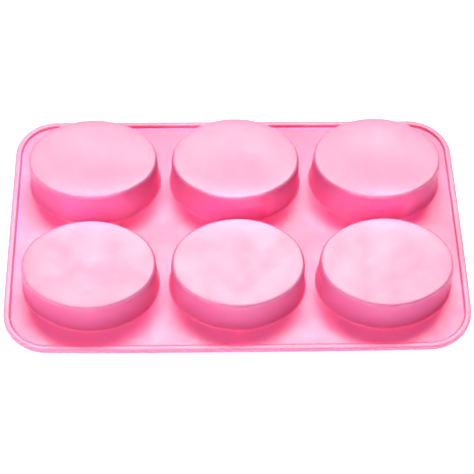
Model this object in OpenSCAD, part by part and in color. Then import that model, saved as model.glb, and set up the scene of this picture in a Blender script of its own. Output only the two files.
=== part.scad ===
// Six-cavity silicone soap mould, lying upside down on its pouring face.
// X runs along the long side, Y from front to back, Z up; the pouring face is z = 0
// and the origin is the middle of that face. Millimetres.

/* [Tray] */
// Overall length of the mould
tray_length = 270; // [268:1:300]
// Overall width of the mould, front to back
tray_width = 165; // [158:1:190]
// Radius of the outline's four corners
corner_radius = 25; // [15:1:32]
// Thickness of the flat sheet that joins the cups
sheet_thickness = 1.5; // [1.2:0.1:2.5]

/* [Rim] */
// Width of the stiffening bead round the edge
rim_width = 3.6; // [3:0.1:5]
// Height of the bead above the pouring face
rim_height = 3; // [2.8:0.1:5]
// Radius along the bead's two upper edges
rim_round = 1.2; // [0.5:0.1:1.3]

/* [Layout] */
// Spacing of the cups along the length
column_pitch = 85; // [83.5:0.5:86]
// Spacing of the two rows
row_pitch = 74; // [70:0.5:76]

/* [Cups] */
// Outside width of a cup where it leaves the sheet
cup_width = 63.2; // [58.4:0.4:64.8]
// How much longer a cup is than it is wide
cup_stretch = 15; // [12:3:18]
// Height of a cup above the sheet
cup_height = 23.5; // [15:0.5:35]
// How far each wall leans inwards over the cup's height
cup_taper = 1.1; // [0.5:0.1:2]
// Thickness of the cup's wall and closed end
cup_wall = 1.6; // [1.2:0.1:2.2]

/* [Rounding] */
// Outer radius round the closed end of a cup
end_round = 3; // [2.5:0.1:3.5]
// Inner radius at the bottom of a cavity
cavity_round = 2; // [1.5:0.1:3]
// Radius in the corner between a cup and the sheet
root_round = 0.6; // [0.4:0.1:1]
// Bevel round the mouth of a cavity
mouth_bevel = 0.6; // [0.3:0.1:0.9]
// Depth to which the middle of a cup's closed end sinks
dish_depth = 0.6; // [0.2:0.1:1]

/* [Hidden] */
$fn = 96;
columns = 3;
rows = 2;

silicone = [0.98, 0.62, 0.77];
silicone_light = [0.99, 0.70, 0.83];
silicone_rim = [0.96, 0.55, 0.72];

// Height of the closed ends above the pouring face
total_height = sheet_thickness + cup_height;

// The oval is four tangent arcs: two of end_arc, centred end_centre out along X, and two
// of side_arc, centred side_centre out along Y. The centres of two neighbouring arcs and
// the middle of the oval make a right triangle with sides of 48, 55 and 73 units, so that
// every length comes out in whole steps and the arcs meet exactly.
across = 48;
along = 55;
slant = 73;
unit = cup_stretch / (2 * (across + along - slant));
end_centre = across * unit;
side_centre = along * unit;
end_arc = cup_width / 2 - (slant - along) * unit;
side_arc = end_arc + slant * unit;

// The edge line between two sectors runs from an end arc's centre out to edge_end,
// well past the cup's foot
edge_reach = 1.5;
edge_end = [end_centre, 0] + edge_reach * [across, along];

// Lean of the wall from upright
lean = atan(cup_taper / cup_height);

// The dish starts and ends this far inside the cup's outline at the sheet
dish_start = 8;
dish_end = 16;

// How far past a surface a cutting shape reaches
overshoot = 1;

// A wall's line ends this far inside the round that it runs into, so that the two cross
// cleanly and leave no sliver between them
seat = 0.0001;

// Place of the wall's outer line at height z, from the outline at the sheet
function wall_x(z) = -(z - sheet_thickness) * tan(lean);

// Place of the wall's inner line at height z
function inner_x(z) = wall_x(z) - cup_wall / cos(lean);

// Where a circle touches the leaning wall: side is 1 for one that rounds the closed end,
// and -1 for one that fills the corner at the sheet
function touch(centre, radius, side) =
    centre + side * (radius - seat) * [cos(lean), sin(lean)];

// Middle of the cup in a column and a row, both counted from 0
function cup_place(column, row) = [
    (column - (columns - 1) / 2) * column_pitch,
    (row - (rows - 1) / 2) * row_pitch,
    0
];

// Centre of the fillet in the corner between a cup and the sheet
root_z = sheet_thickness + root_round;
root_centre = [wall_x(root_z) + root_round / cos(lean), root_z];

// Section from an edge of points, measured from the oval's outline at x = 0, inwards to
// past the axis of the widest arc
module inward_section(edge) {
    axis_x = -side_arc - overshoot;
    polygon(concat([[axis_x, edge[0].y]], edge, [[axis_x, edge[len(edge) - 1].y]]));
}

// Solid section of a cup's outside
module outer_section() {
    end_z = total_height - end_round;
    end_middle = [wall_x(end_z) - end_round / cos(lean), end_z];
    difference() {
        union() {
            inward_section([
                [root_centre.x, 0],
                root_centre,
                touch(root_centre, root_round, -1),
                touch(end_middle, end_round, 1),
                end_middle,
                [end_middle.x, total_height],
                [-dish_start, total_height],
                [-dish_end, total_height - dish_depth]
            ]);
            translate(end_middle) circle(end_round);
        }
        translate(root_centre) circle(root_round);
    }
}

// Section of the cavity inside a cup, open below the pouring face
module cavity_section() {
    roof_z = total_height - cup_wall;
    round_z = roof_z - cavity_round;
    round_middle = [inner_x(round_z) - cavity_round / cos(lean), round_z];
    inward_section([
        [inner_x(0) + mouth_bevel + overshoot, -overshoot],
        [inner_x(mouth_bevel), mouth_bevel],
        touch(round_middle, cavity_round, 1),
        round_middle,
        [round_middle.x, roof_z],
        [-dish_start, roof_z],
        [-dish_end, roof_z - dish_depth]
    ]);
    translate(round_middle) circle(cavity_round);
}

// Turns the section drawn by the children round the oval's four arcs. Each full turn keeps
// only its own sector, and neighbouring sectors share one edge line.
module turn_oval() {
    for (side = [-1, 1]) {
        intersection() {
            translate([side * end_centre, 0, 0]) turn_arc(end_arc) children();
            sector([
                [side * end_centre, 0],
                [side * edge_end.x, edge_end.y],
                [side * edge_end.x, -edge_end.y]
            ]);
        }
        intersection() {
            translate([0, -side * side_centre, 0]) turn_arc(side_arc) children();
            sector([
                [-end_centre, 0],
                [end_centre, 0],
                [edge_end.x, side * edge_end.y],
                [-edge_end.x, side * edge_end.y]
            ]);
        }
    }
}

// A full turn round one arc's centre. The children draw with the outline at x = 0, so their
// section moves out by the radius and is cut off at the axis.
module turn_arc(radius) {
    rotate_extrude() intersection() {
        translate([radius, 0]) children();
        translate([0, -2 * overshoot])
            square([radius + 2 * overshoot, total_height + 3 * overshoot]);
    }
}

// Upright prism that keeps the part of a turn over a patch of the plan
module sector(corners) {
    translate([0, 0, -2 * overshoot])
        linear_extrude(total_height + 3 * overshoot) polygon(corners);
}

// One cup: its wall, closed end, and the foot that reaches out to the sheet
module cup(column, row) {
    color(silicone_light) translate(cup_place(column, row)) difference() {
        turn_oval() outer_section();
        turn_oval() cavity_section();
    }
}

// Rounded rectangle centred on the origin
module rounded_rectangle(length, width, radius) {
    square([length - 2 * radius, width], center = true);
    square([length, width - 2 * radius], center = true);
    for (x = [-1, 1], y = [-1, 1])
        translate([x * (length / 2 - radius), y * (width / 2 - radius)]) circle(radius);
}

// Section of the bead, with x = 0 on the outline and the bead inwards of it
module rim_section() {
    translate([-rim_width, 0]) square([rim_width, rim_height - rim_round]);
    translate([rim_round - rim_width, 0]) square([rim_width - 2 * rim_round, rim_height]);
    for (x = [rim_round - rim_width, -rim_round])
        translate([x, rim_height - rim_round]) circle(rim_round);
}

// The bead: four straight runs, and a quarter turn at each corner
module rim_bead() {
    run_x = tray_length - 2 * corner_radius;
    run_y = tray_width - 2 * corner_radius;
    color(silicone_rim) union() {
        for (half = [0, 180]) {
            rotate(half) translate([run_x / 2, run_y / 2])
                rotate_extrude(angle = 90) translate([corner_radius, 0]) rim_section();
            rotate(half) translate([-run_x / 2, run_y / 2]) rotate(90)
                rotate_extrude(angle = 90) translate([corner_radius, 0]) rim_section();
            rotate(half) translate([tray_length / 2, run_y / 2]) rotate([90, 0, 0])
                linear_extrude(run_y) rim_section();
            rotate(half) translate([-run_x / 2, tray_width / 2]) rotate([90, 0, 90])
                linear_extrude(run_x) rim_section();
        }
    }
}

// The flat sheet inside the bead, with an opening for the foot of each cup
module web_sheet() {
    color(silicone) difference() {
        linear_extrude(sheet_thickness)
            rounded_rectangle(
                tray_length - 2 * rim_width,
                tray_width - 2 * rim_width,
                corner_radius - rim_width
            );
        for (column = [0:columns - 1], row = [0:rows - 1])
            translate(cup_place(column, row)) turn_oval() inward_section([
                [root_centre.x, -overshoot],
                [root_centre.x, sheet_thickness + overshoot]
            ]);
    }
}

rim_bead();
web_sheet();
cup(0, 0);  // cup_front_left
cup(1, 0);  // cup_front_middle
cup(2, 0);  // cup_front_right
cup(0, 1);  // cup_back_left
cup(1, 1);  // cup_back_middle
cup(2, 1);  // cup_back_right
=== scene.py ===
"""Looks of the silicone soap mould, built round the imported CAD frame.

The mould lies upside down: its pouring face is on the floor at z = 0 and the closed ends
of the six cups point up. Lengths are in metres. Each CAD node gets one finely meshed
piece of its own. The real mould is one skin, so its texture runs on from piece to piece,
because it is laid out in the shared frame, and the whole soft moulding settles as one.
"""

import math

import bmesh
import bpy
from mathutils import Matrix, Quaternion, Vector, noise
from mathutils.geometry import delaunay_2d_cdt


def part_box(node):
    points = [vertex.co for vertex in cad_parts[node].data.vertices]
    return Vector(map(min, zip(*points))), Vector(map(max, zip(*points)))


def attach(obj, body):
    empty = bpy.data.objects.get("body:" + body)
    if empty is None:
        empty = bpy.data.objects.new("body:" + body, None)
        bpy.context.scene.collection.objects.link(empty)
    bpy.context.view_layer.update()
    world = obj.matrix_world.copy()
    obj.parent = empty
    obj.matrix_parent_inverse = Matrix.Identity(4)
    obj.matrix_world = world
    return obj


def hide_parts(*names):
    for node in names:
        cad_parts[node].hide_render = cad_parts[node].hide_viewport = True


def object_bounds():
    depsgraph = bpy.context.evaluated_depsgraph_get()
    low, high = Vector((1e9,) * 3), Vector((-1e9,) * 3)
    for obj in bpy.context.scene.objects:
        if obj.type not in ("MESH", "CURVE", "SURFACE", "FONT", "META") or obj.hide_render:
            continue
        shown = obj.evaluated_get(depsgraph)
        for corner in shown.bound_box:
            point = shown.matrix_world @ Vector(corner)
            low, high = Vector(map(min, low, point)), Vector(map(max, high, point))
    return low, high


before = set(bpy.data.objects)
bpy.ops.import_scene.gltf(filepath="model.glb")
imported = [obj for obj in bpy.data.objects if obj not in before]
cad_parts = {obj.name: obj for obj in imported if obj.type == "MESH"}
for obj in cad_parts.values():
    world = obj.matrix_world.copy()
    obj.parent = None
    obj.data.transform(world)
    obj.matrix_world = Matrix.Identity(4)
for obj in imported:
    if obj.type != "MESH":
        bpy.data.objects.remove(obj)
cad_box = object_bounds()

MM = 0.001

# ---------------------------------------------------------------- sizes from the frame
CUPS = [name for name in sorted(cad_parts) if name.startswith("cup_")]
TRAY_HALF = Vector(cad_box[1]).xy
TOP_Z = cad_box[1][2]
SHEET_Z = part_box("web_sheet")[1][2]
RIM_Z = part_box("rim_bead")[1][2]
RIM_WIDTH = TRAY_HALF.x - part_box("web_sheet")[1][0]

# ---------------------------------------------------------------- sizes of the details
CORNER_RADIUS = 25 * MM      # outline corners, seen from above
TAPER = 1.1 * MM             # how far a wall leans in from the sheet up to the top
WALL = 1.6 * MM              # wall and closed end of a cup
CAD_ROOT = 0.6 * MM          # fillet between a cup's wall and the sheet in the CAD
ROOT_ROUND = 1.1 * MM        # the same fillet as drawn here, softened a little
END_ROUND = 2.6 * MM         # height of the round edge of a cup's closed end
END_REACH = 1.7 * MM         # how far that edge reaches in over the end
CAVITY_ROUND = 2.0 * MM      # round at the bottom of a cavity
MOUTH_ROUND = 0.6 * MM       # round lip of a cavity's mouth
DISH = 0.6 * MM              # how far the middle of a closed end sinks
RIM_EDGE = 1.0 * MM          # round upper edges of the bead
RIM_FOOT = 0.9 * MM          # small fillet between the bead and the sheet
RIM_BASE = 0.35 * MM         # round lower edge of the bead

LEAN = math.atan2(TAPER, TOP_Z - SHEET_Z)
FOOT_SHARE = 1 / math.cos(LEAN) - math.tan(LEAN)
CAD_FOOT = CAD_ROOT * FOOT_SHARE    # reach of a cup's foot in the CAD
FOOT = ROOT_ROUND * FOOT_SHARE      # and as drawn here

END_SPOKES = 41              # points along the arc at one end of a cup
SIDE_SPOKES = 47             # points along the arc on one of its long sides
SPOKES = 2 * (END_SPOKES + SIDE_SPOKES)
WALL_STEPS = 12              # rings up a cup's wall, outside and inside
DISH_RINGS = 16              # rings from the edge of a closed end to its middle
STEP = 3.0 * MM              # spacing of points along straight runs and inside the sheet
SHARP_ANGLE = math.radians(40)    # edges sharper than this aren't shaded smooth


# ---------------------------------------------------------------- camera, lights, floor
def add_camera():
    """The photograph's view: above the front edge, turned and rolled a little."""
    elevation, turn, roll = (math.radians(a) for a in (56.0, 3.03, 2.10))
    target = Vector((0.58, -3.56, 0)) * MM
    distance = 0.82877
    forward = Vector((
        math.sin(turn) * math.cos(elevation),
        math.cos(turn) * math.cos(elevation),
        -math.sin(elevation),
    ))
    data = bpy.data.cameras.new("camera")
    data.sensor_width = 36
    data.lens = 105.13
    camera = bpy.data.objects.new("camera", data)
    bpy.context.collection.objects.link(camera)
    camera.location = target - forward * distance
    camera.rotation_mode = "QUATERNION"
    camera.rotation_quaternion = (
        forward.to_track_quat("-Z", "Y") @ Quaternion((0, 0, 1), roll)
    )
    bpy.context.scene.camera = camera


def add_softbox(name, bearing, elevation, distance, size, radiance,
                colour=(1, 1, 1), aim=(0, 0, 0), spread=180):
    """A rectangular studio light that faces aim, with a grid where spread is narrow.

    Angles are in degrees, and the bearing turns from the back (+Y) to the right (+X).
    """
    data = bpy.data.lights.new(name, "AREA")
    data.color = colour
    data.spread = math.radians(spread)
    data.shape = "RECTANGLE"
    data.size, data.size_y = size
    data.energy = radiance * math.pi * size[0] * size[1]
    lamp = bpy.data.objects.new(name, data)
    bpy.context.collection.objects.link(lamp)
    bearing, elevation = math.radians(bearing), math.radians(elevation)
    place = distance * Vector((
        math.sin(bearing) * math.cos(elevation),
        math.cos(bearing) * math.cos(elevation),
        math.sin(elevation),
    ))
    lamp.location = Vector(aim) + place
    lamp.rotation_mode = "QUATERNION"
    lamp.rotation_quaternion = (-place).to_track_quat("-Z", "Y")


def add_floor(glow):
    """A plain pale floor that glows a little, as a lit studio table does."""
    half = 3.0
    drop = 0.05 * MM         # keeps the floor clear of the pouring face
    mesh = bpy.data.meshes.new("floor")
    mesh.from_pydata(
        [(-half, -half, 0), (half, -half, 0), (half, half, 0), (-half, half, 0)],
        [], [(0, 1, 2, 3)],
    )
    floor = bpy.data.objects.new("floor", mesh)
    bpy.context.collection.objects.link(floor)
    material = bpy.data.materials.new("floor_white")
    material.use_nodes = True
    shader = material.node_tree.nodes["Principled BSDF"]
    shader.inputs["Base Color"].default_value = (0.93, 0.93, 0.93, 1)
    shader.inputs["Roughness"].default_value = 0.9
    shader.inputs["Emission Color"].default_value = (1, 1, 1, 1)
    shader.inputs["Emission Strength"].default_value = glow
    mesh.materials.append(material)
    floor.location.z = -drop


def set_world(light, shown):
    """An even white surround, with one strength as a light and another to the camera."""
    world = bpy.data.worlds.new("surround")
    bpy.context.scene.world = world
    world.use_nodes = True
    nodes, links = world.node_tree.nodes, world.node_tree.links
    background = nodes["Background"]
    background.inputs["Color"].default_value = (1, 1, 1, 1)
    path = nodes.new("ShaderNodeLightPath")
    level = nodes.new("ShaderNodeMapRange")
    level.inputs["To Min"].default_value = light
    level.inputs["To Max"].default_value = shown
    links.new(path.outputs["Is Camera Ray"], level.inputs["Value"])
    links.new(level.outputs["Result"], background.inputs["Strength"])


add_camera()
add_softbox("key", bearing=4.5, elevation=60, distance=1.6, size=(1.1, 0.40),
            radiance=9.4, colour=(1, 0.925, 0.80))
add_softbox("fill", bearing=212, elevation=36, distance=1.2, size=(1.3, 0.36),
            radiance=2.7)
add_softbox("back", bearing=0, elevation=22, distance=2.0, size=(1.8, 0.9),
            radiance=0.9, colour=(1, 0.94, 0.84))

# The front row stands in the way of the fill, so a narrow light reaches the front wall of
# each back cup
for name in ("cup_back_left", "cup_back_middle", "cup_back_right"):
    low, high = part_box(name)
    add_softbox("snoot", bearing=180, elevation=52, distance=0.6, size=(0.05, 0.010),
                radiance=0.72, colour=(1, 0.92, 1.0),
                aim=((low[0] + high[0]) / 2, 6 * MM, 16 * MM), spread=3)
add_floor(glow=0.35)
set_world(light=0.15, shown=0.95)

# Strong contrast, as in a catalogue picture
view = bpy.context.scene.view_settings
view.view_transform = "Standard"
view.exposure = 0.60
view.gamma = 0.675


# ---------------------------------------------------------------- silicone
CLOUD_DEEP = (0.985, 0.94, 0.96)     # the base colour's factors in a deep cloud
CLOUD_PALE = (1.0, 1.06, 1.04)       # and in a pale one
PAINTED_LIGHT_SHARE = 0.13                   # how far towards white the painted light on upward faces goes
PAINTED_LIGHT_SLOPE = (0.12, 0.55)           # upward part of the normal where the painted light starts and is full
SMEARS = (-0.04, 0.05)               # least and most that smears add to the roughness
GRAIN_DEPTH = 0.02                   # heights, in millimetres before the bump's strength
RIPPLE_DEPTH = 0.03


def silicone(name, colour, roughness, grain, joint_glow=0.0):
    """Moulded silicone: translucent, satin, with faint clouds of tone and a fine grain.

    What faces up is painted a little paler: painted light for the sheen and light that
    upward faces catch. Faces where two pieces join glow by joint_glow, painted light in
    place of the light that would pass from the one into the other.
    """
    material = bpy.data.materials.new(name)
    material.use_nodes = True
    nodes, links = material.node_tree.nodes, material.node_tree.links
    shader = nodes["Principled BSDF"]
    place = nodes.new("ShaderNodeTexCoord")

    def noise_field(scale, detail, rough=0.5):
        node = nodes.new("ShaderNodeTexNoise")
        node.inputs["Scale"].default_value = scale
        node.inputs["Detail"].default_value = detail
        node.inputs["Roughness"].default_value = rough
        links.new(place.outputs["Object"], node.inputs["Vector"])
        return node.outputs["Fac"]

    def ramp(source, low, high, out_low, out_high):
        node = nodes.new("ShaderNodeMapRange")
        node.inputs["From Min"].default_value = low
        node.inputs["From Max"].default_value = high
        node.inputs["To Min"].default_value = out_low
        node.inputs["To Max"].default_value = out_high
        links.new(source, node.inputs["Value"])
        return node.outputs["Result"]

    def blend(factor, low, high):
        node = nodes.new("ShaderNodeMix")
        node.data_type = "RGBA"
        links.new(factor, node.inputs["Factor"])
        for socket, value in (("A", low), ("B", high)):
            if isinstance(value, tuple):
                node.inputs[socket].default_value = (*value, 1)
            else:
                links.new(value, node.inputs[socket])
        return node.outputs["Result"]

    deep = tuple(c * k for c, k in zip(colour, CLOUD_DEEP))
    pale = tuple(c * k for c, k in zip(colour, CLOUD_PALE))
    clouds = noise_field(scale=28, detail=3)
    clouded = blend(ramp(clouds, 0.3, 0.7, 0, 1), deep, pale)
    # Upward faces are painted paler: painted light for the sheen and light they catch
    facing = nodes.new("ShaderNodeSeparateXYZ")
    links.new(place.outputs["Normal"], facing.inputs["Vector"])
    upward = ramp(facing.outputs["Z"], *PAINTED_LIGHT_SLOPE, 0, 1)
    painted_light_colour = tuple(c + PAINTED_LIGHT_SHARE * (1 - c) for c in colour)
    links.new(blend(upward, clouded, painted_light_colour), shader.inputs["Base Color"])

    smears = noise_field(scale=65, detail=4, rough=0.6)
    low, high = (roughness + change for change in SMEARS)
    links.new(ramp(smears, 0.3, 0.7, low, high), shader.inputs["Roughness"])

    height = nodes.new("ShaderNodeMath")
    height.operation = "MULTIPLY_ADD"
    links.new(noise_field(scale=2600, detail=2), height.inputs[0])
    height.inputs[1].default_value = GRAIN_DEPTH * grain
    ripples = noise_field(scale=70, detail=2)
    links.new(ramp(ripples, 0, 1, 0, RIPPLE_DEPTH), height.inputs[2])
    bump = nodes.new("ShaderNodeBump")
    bump.inputs["Strength"].default_value = 0.5
    bump.inputs["Distance"].default_value = MM
    links.new(height.outputs["Value"], bump.inputs["Height"])
    links.new(bump.outputs["Normal"], shader.inputs["Normal"])

    shader.inputs["IOR"].default_value = 1.45
    shader.inputs["Specular IOR Level"].default_value = 0.85
    shader.inputs["Subsurface Weight"].default_value = 1.0
    shader.inputs["Subsurface Radius"].default_value = (1.0, 0.35, 0.5)
    shader.inputs["Subsurface Scale"].default_value = 5.0 * MM
    # Emission is painted light: a glow on faces where pieces join, zero elsewhere
    shader.inputs["Emission Color"].default_value = (*colour, 1)
    shader.inputs["Emission Strength"].default_value = joint_glow
    return material


PINK = (0.97, 0.34, 0.58)
# The bead's pink is painted paler than the rest: painted highlight for the light its top
# catches
RIM_PINK_PAINTED_PALE = (0.96, 0.41, 0.64)
outer = silicone("silicone_satin", PINK, roughness=0.34, grain=1.0)
polished = silicone("silicone_polished", PINK, roughness=0.24, grain=0.3)
edge = silicone("silicone_rim", RIM_PINK_PAINTED_PALE, roughness=0.36, grain=1.0)
joint = silicone("silicone_joint", PINK, roughness=0.34, grain=1.0, joint_glow=0.6)


# ---------------------------------------------------------------- the soft moulding settles
CORNER_DRAW = 1.6 * MM       # how far the front corners draw in
END_BOW = 0.5 * MM           # how far the right end bows out
WEB_LIFT = 0.25 * MM         # most that the sheet rises off the floor
WAVE_SPACING = 45 * MM       # size of the uneven patches that it rises in
TOP_SAG = 0.07 * MM          # unevenness of a cup's closed end
SAG_SPACING = 20 * MM        # size of the uneven patches there


def settle(point):
    """Where a point of the ideal shape lies once the soft tray has relaxed."""
    x, y, z = point
    u, v = x / TRAY_HALF.x, y / TRAY_HALF.y
    draw = CORNER_DRAW * max(0, -v) ** 4 * u ** 4
    inside = max(0, 1 - u * u) * max(0, 1 - v * v)
    wave = 0.5 + 0.5 * noise.noise(Vector((x, y, 0)) / WAVE_SPACING)
    return (
        x - math.copysign(draw, x) + END_BOW * max(0, u) * (1 - v * v),
        y + draw,
        z + WEB_LIFT * inside * wave,
    )


# ---------------------------------------------------------------- mesh helpers
def arc(centre, radius, start, end, count):
    """count + 1 points of an arc in (x, z), angles in degrees from +x towards +z."""
    angles = [math.radians(start + (end - start) * i / count) for i in range(count + 1)]
    return [
        (centre[0] + radius * math.cos(a), centre[1] + radius * math.sin(a))
        for a in angles
    ]


def add_piece(node, verts, faces, slots, materials):
    """Makes the mesh object that stands for a CAD node."""
    mesh = bpy.data.meshes.new(node + "_skin")
    mesh.from_pydata([settle(v) for v in verts], [], faces)
    for material in materials:
        mesh.materials.append(material)
    mesh.polygons.foreach_set("material_index", slots)
    mesh.polygons.foreach_set("use_smooth", [True] * len(faces))
    mesh.set_sharp_from_angle(angle=SHARP_ANGLE)
    work = bmesh.new()
    work.from_mesh(mesh)
    bmesh.ops.recalc_face_normals(work, faces=work.faces)
    work.to_mesh(mesh)
    work.free()
    piece = bpy.data.objects.new(node + "_skin", mesh)
    bpy.context.collection.objects.link(piece)
    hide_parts(node)
    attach(piece, "root")


def ring_faces(rings, size, base=0, closed=False):
    """Quads between rings of size points, stored one after another from base on."""
    faces = []
    for r in range(rings if closed else rings - 1):
        a, b = base + r * size, base + (r + 1) % rings * size
        for i in range(size):
            j = (i + 1) % size
            faces.append((a + i, a + j, b + j, b + i))
    return faces


class Oval:
    """A cup's outline at the sheet: four tangent arcs round the middle of its CAD box.

    The centres of two neighbouring arcs and the middle of the oval make a right triangle
    with sides in the ratio 48 : 55 : 73.
    """

    ACROSS, ALONG, SLANT = 48, 55, 73

    def __init__(self, node):
        low, high = (Vector(corner).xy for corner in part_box(node))
        self.middle = (low + high) / 2
        self.half = (high - low) / 2 - Vector((CAD_FOOT, CAD_FOOT))
        unit = (self.half.x - self.half.y) / (self.ACROSS + self.ALONG - self.SLANT)
        end_centre = self.ACROSS * unit
        side_centre = self.ALONG * unit
        end_arc = self.half.x - end_centre
        side_arc = self.half.y + side_centre
        join = math.atan2(self.ALONG, self.ACROSS)
        arcs = [
            ((end_centre, 0), end_arc, -join, join, END_SPOKES),
            ((0, -side_centre), side_arc, join, math.pi - join, SIDE_SPOKES),
            ((-end_centre, 0), end_arc, math.pi - join, math.pi + join, END_SPOKES),
            ((0, side_centre), side_arc, math.pi + join, 2 * math.pi - join, SIDE_SPOKES),
        ]
        self.spokes = []
        for centre, radius, start, end, count in arcs:
            for i in range(count):
                angle = start + (end - start) * i / count
                direction = Vector((math.cos(angle), math.sin(angle)))
                self.spokes.append((Vector(centre), direction, radius))

    def ring(self, inset, z, share=1.0):
        """The outline moved inset inwards, shrunk to a share about the middle, at z."""
        return [
            (*(self.middle + (centre + direction * (radius - inset)) * share), z)
            for centre, direction, radius in self.spokes
        ]

    def holds(self, point, reach):
        """Is a point of the plan inside the outline moved reach outwards?"""
        local = point - self.middle
        return all((local - centre).dot(direction) <= radius + reach
                   for centre, direction, radius in self.spokes)


# ---------------------------------------------------------------- cups
# How each soft cup stands: its top's shift to the right and back, and how much further its
# ends and its sides reach at the top than in the ideal shape, all in millimetres
STANCE = {
    "cup_back_left": (-0.5, 0.3, 0.5, -0.9),
    "cup_back_middle": (0.0, 0.0, 0.0, 0.0),
    "cup_back_right": (0.1, 0.1, 0.1, -0.2),
    "cup_front_left": (-0.3, -1.0, 0.4, -0.2),
    "cup_front_middle": (0.0, -0.3, 0.0, 0.0),
    "cup_front_right": (0.1, -0.6, 0.3, -0.1),
}


def closed_end(oval, inset, z):
    """Rings from the inner edge of a round in to the middle, sinking like a dish."""
    rings = []
    for i in range(1, DISH_RINGS):
        share = 1 - i / DISH_RINGS
        depth = 0.5 + 0.5 * math.cos(math.pi * share)
        rings.append(oval.ring(inset, z - DISH * depth, share))
    return rings


def wall_inset(z):
    """How far the wall at height z leans in from the outline at the sheet."""
    return (z - SHEET_Z) * math.tan(LEAN)


def outside_profile():
    """Foot, fillet, leaning wall and round edge, as (inset, z)."""
    root = (wall_inset(SHEET_Z + ROOT_ROUND) - ROOT_ROUND / math.cos(LEAN),
            SHEET_Z + ROOT_ROUND)
    lean = math.degrees(LEAN)
    profile = [(-FOOT, 0.0), (-FOOT, SHEET_Z * 0.5)]
    profile += arc(root, ROOT_ROUND, 270, 360 - lean, 6)
    start_z, edge_z = profile[-1][1], TOP_Z - END_ROUND
    for i in range(1, WALL_STEPS):
        z = start_z + (edge_z - start_z) * i / WALL_STEPS
        profile.append((wall_inset(z), z))
    quarter = arc((0, 0), 1, 180, 90, 12)
    return profile + [
        (wall_inset(edge_z) + END_REACH * (1 + x), edge_z + END_ROUND * z)
        for x, z in quarter
    ]


def inside_profile(roof):
    """Lip of the mouth, wall and round of the cavity, as (inset, z)."""
    thick = WALL / math.cos(LEAN)
    lip = (wall_inset(0) + thick - MOUTH_ROUND, MOUTH_ROUND)
    profile = arc(lip, MOUTH_ROUND, 270, 360, 5)
    corner_z = roof - CAVITY_ROUND
    for i in range(1, WALL_STEPS):
        z = MOUTH_ROUND + (corner_z - MOUTH_ROUND) * i / WALL_STEPS
        profile.append((wall_inset(z) + thick, z))
    corner = (wall_inset(corner_z) + thick + CAVITY_ROUND, corner_z)
    return profile + arc(corner, CAVITY_ROUND, 180, 90, 8)


def build_cup(node):
    """A cup's outside, its lip, and the cavity inside."""
    oval = Oval(node)
    shift_x, shift_y, swell_x, swell_y = (value * MM for value in STANCE[node])
    roof = TOP_Z - WALL
    verts, faces, starts = [], [], []
    for profile, end_z in ((outside_profile(), TOP_Z), (inside_profile(roof), roof)):
        rings = [oval.ring(inset, z) for inset, z in profile]
        rings += closed_end(oval, profile[-1][0], end_z)
        base = len(verts)
        starts.append((base, len(faces)))
        verts += [v for ring in rings for v in ring]
        faces += ring_faces(len(rings), SPOKES, base)
        last, tip = base + (len(rings) - 1) * SPOKES, len(verts)
        verts.append((*oval.middle, end_z - DISH))
        faces += [(last + i, last + (i + 1) % SPOKES, tip) for i in range(SPOKES)]
    (low, _), (inner, first_inner_face) = starts
    for i in range(SPOKES):
        j = (i + 1) % SPOKES
        faces.append((low + i, low + j, inner + j, inner + i))
    slots = [0] * first_inner_face + [1] * (len(faces) - first_inner_face)
    foot_faces = 2 * SPOKES      # the first two rows, which stand against the sheet
    slots[:foot_faces] = [2] * foot_faces

    def stand(point):
        """Leans and swells the cup towards its top, and lets the top sag unevenly."""
        x, y, z = point
        rise = max(0, (z - SHEET_Z) / (TOP_Z - SHEET_Z))
        away = Vector((x, y)) - oval.middle
        x += rise * (shift_x + swell_x * away.x / oval.half.x)
        y += rise * (shift_y + swell_y * away.y / oval.half.y)
        sag = TOP_SAG * noise.noise(Vector((x, y, 0)) / SAG_SPACING)
        return (x, y, z + sag * rise ** 4)

    verts = [stand(v) for v in verts]
    add_piece(node, verts, faces, slots, [outer, polished, joint])
    return oval


# ---------------------------------------------------------------- rim and sheet
def rounded_rectangle(inset):
    """Points round the tray's outline moved inset inwards, with outward directions."""
    reach = CORNER_RADIUS - inset
    quarter = round(math.pi * CORNER_RADIUS / STEP)
    signs = [(1, 1), (-1, 1), (-1, -1), (1, -1)]
    centres = [
        Vector((sx * (TRAY_HALF.x - CORNER_RADIUS), sy * (TRAY_HALF.y - CORNER_RADIUS)))
        for sx, sy in signs
    ]
    points = []
    for k, centre in enumerate(centres):
        for i in range(quarter + 1):
            angle = math.pi / 2 * (k + i / quarter)
            direction = Vector((math.cos(angle), math.sin(angle)))
            points.append((centre + direction * reach, direction))
        here = centre + direction * reach
        there = centres[(k + 1) % 4] + direction * reach
        count = round((there - here).length / STEP)
        points += [(here.lerp(there, i / count), direction) for i in range(1, count)]
    return points


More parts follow.
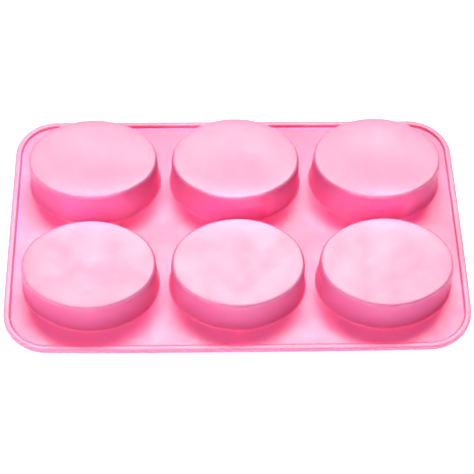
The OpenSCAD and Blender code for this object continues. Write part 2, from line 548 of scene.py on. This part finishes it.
def build_rim():
    """The bead: its section swept round the outline."""
    section = arc((RIM_BASE, RIM_BASE), RIM_BASE, 270, 180, 3)
    section += arc((RIM_EDGE, RIM_Z - RIM_EDGE), RIM_EDGE, 180, 90, 7)
    section += arc((RIM_WIDTH - RIM_EDGE, RIM_Z - RIM_EDGE), RIM_EDGE, 90, 0, 7)
    section += arc((RIM_WIDTH + RIM_FOOT, SHEET_Z + RIM_FOOT), RIM_FOOT, 180, 270, 5)
    section.append((RIM_WIDTH + RIM_FOOT, 0.0))
    path = rounded_rectangle(0)
    verts = [(*(p - out * x), z) for p, out in path for x, z in section]
    faces = ring_faces(len(path), len(section), closed=True)
    inner_side = len(section) - 2    # the side that stands against the sheet
    slots = [int(i % len(section) == inner_side) for i in range(len(faces))]
    add_piece("rim_bead", verts, faces, slots, [edge, joint])


def build_sheet(ovals):
    """The flat sheet between the bead and the cups' feet."""
    inset = RIM_WIDTH + RIM_FOOT
    loops = [[p for p, _ in rounded_rectangle(inset)]]
    loops += [[Vector(p[:2]) for p in oval.ring(-FOOT, 0)] for oval in ovals]
    points, edges = [], []
    for loop in loops:
        base, size = len(points), len(loop)
        points += loop
        edges += [(base + i, base + (i + 1) % size) for i in range(size)]

    straight = TRAY_HALF - Vector((CORNER_RADIUS, CORNER_RADIUS))

    def on_sheet(point, margin):
        """Is a point of the plan on the sheet, at least margin from its edges?"""
        past = Vector((max(0, abs(point.x) - straight.x), max(0, abs(point.y) - straight.y)))
        if past.length > CORNER_RADIUS - inset - margin:
            return False
        return not any(oval.holds(point, FOOT + margin) for oval in ovals)

    clear = 0.4 * STEP           # least distance of an inner point from an edge
    weld, slack = 1e-7, 1e-6     # metres, for the triangulation and for its rounding
    half = TRAY_HALF - Vector((inset, inset))
    across, deep = (round(2 * side / STEP) for side in half)
    for i in range(across + 1):
        for j in range(deep + 1):
            point = Vector((half.x * (2 * i / across - 1), half.y * (2 * j / deep - 1)))
            if on_sheet(point, clear):
                points.append(point)
    flat, _, triangles, *_ = delaunay_2d_cdt(points, edges, [], 1, weld)
    triangles = [
        t for t in triangles
        if on_sheet(sum((flat[i] for i in t), Vector((0, 0))) / 3, -slack)
    ]
    count = len(flat)
    verts = [(*p, SHEET_Z) for p in flat] + [(*p, 0.0) for p in flat]
    faces = [tuple(t) for t in triangles]
    faces += [tuple(count + i for i in reversed(t)) for t in triangles]
    sides = {side for t in triangles for side in zip(t, t[1:] + t[:1])}
    borders = sorted((a, b) for a, b in sides if (b, a) not in sides)
    faces += [(b, a, count + a, count + b) for a, b in borders]
    slots = [0] * len(triangles) + [1] * len(triangles) + [2] * len(borders)
    add_piece("web_sheet", verts, faces, slots, [outer, polished, joint])


ovals = [build_cup(name) for name in CUPS]
build_rim()
build_sheet(ovals)
